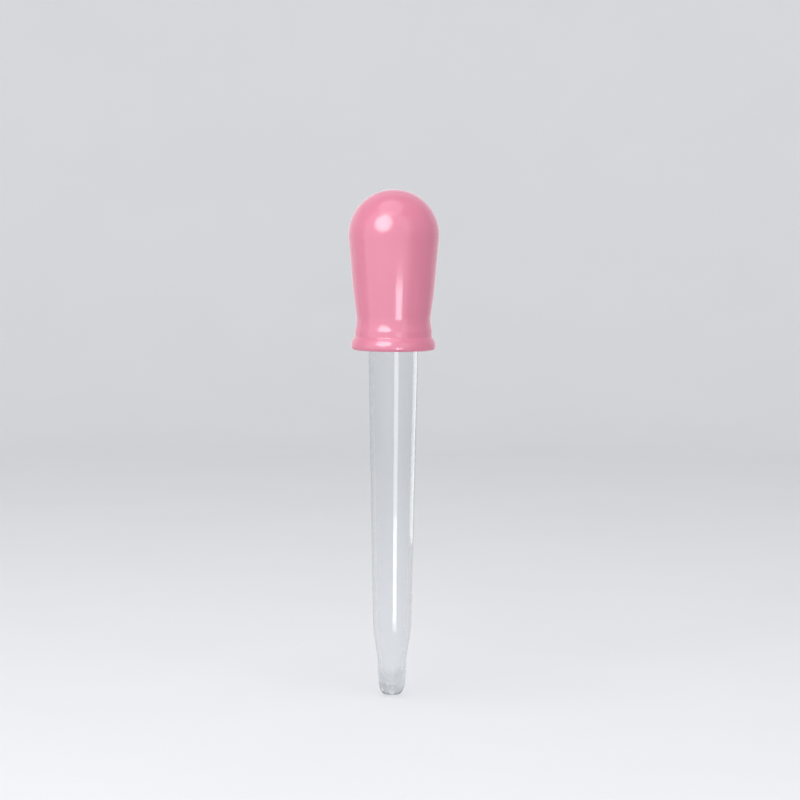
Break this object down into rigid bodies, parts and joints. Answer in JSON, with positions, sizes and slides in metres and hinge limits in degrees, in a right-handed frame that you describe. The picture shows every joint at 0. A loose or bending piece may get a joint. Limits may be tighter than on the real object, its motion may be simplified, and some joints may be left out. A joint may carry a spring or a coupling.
{
  "type": "medicine dropper",
  "caption": "Hand dropper for liquid medicine: a soft squeeze bulb with a flanged collar pushed onto a clear tapered tube with a round nozzle.",
  "frame": {"origin": "centre of the mouth of the tip, the lowest point of the upright dropper", "axes": "+Z along the dropper from the tip to the bulb's dome; a finger and a thumb squeeze the bulb along Y; +X completes a right-handed frame"},
  "size_m": [0.024, 0.024, 0.1337],
  "materials": {
    "clear_plastic": "clear, colourless, glossy",
    "pink_silicone": "smooth, glossy, opaque"
  },
  "bodies": {
    "tube": {"tube": "clear_plastic"},
    "bulb": {"bulb": "pink_silicone"},
    "front_wall": {"front_squeeze_wall": "pink_silicone"},
    "back_wall": {"back_squeeze_wall": "pink_silicone"}
  },
  "joints": [
    {"name": "bulb_pull_off", "type": "slide", "parent": "tube", "child": "bulb", "axis": [0, 0, 1], "range_m": [0, 0.025]},
    {"name": "squeeze_front", "type": "slide", "parent": "bulb", "child": "front_wall", "axis": [0, 1, 0], "range_m": [0, 0.004], "stiffness_N_per_m": 800},
    {"name": "squeeze_back", "type": "slide", "parent": "bulb", "child": "back_wall", "axis": [0, -1, 0], "range_m": [0, 0.004], "stiffness_N_per_m": 800}
  ],
  "couplings": [
    {"joint": "squeeze_back", "follows": "squeeze_front", "ratio": 1}
  ]
}
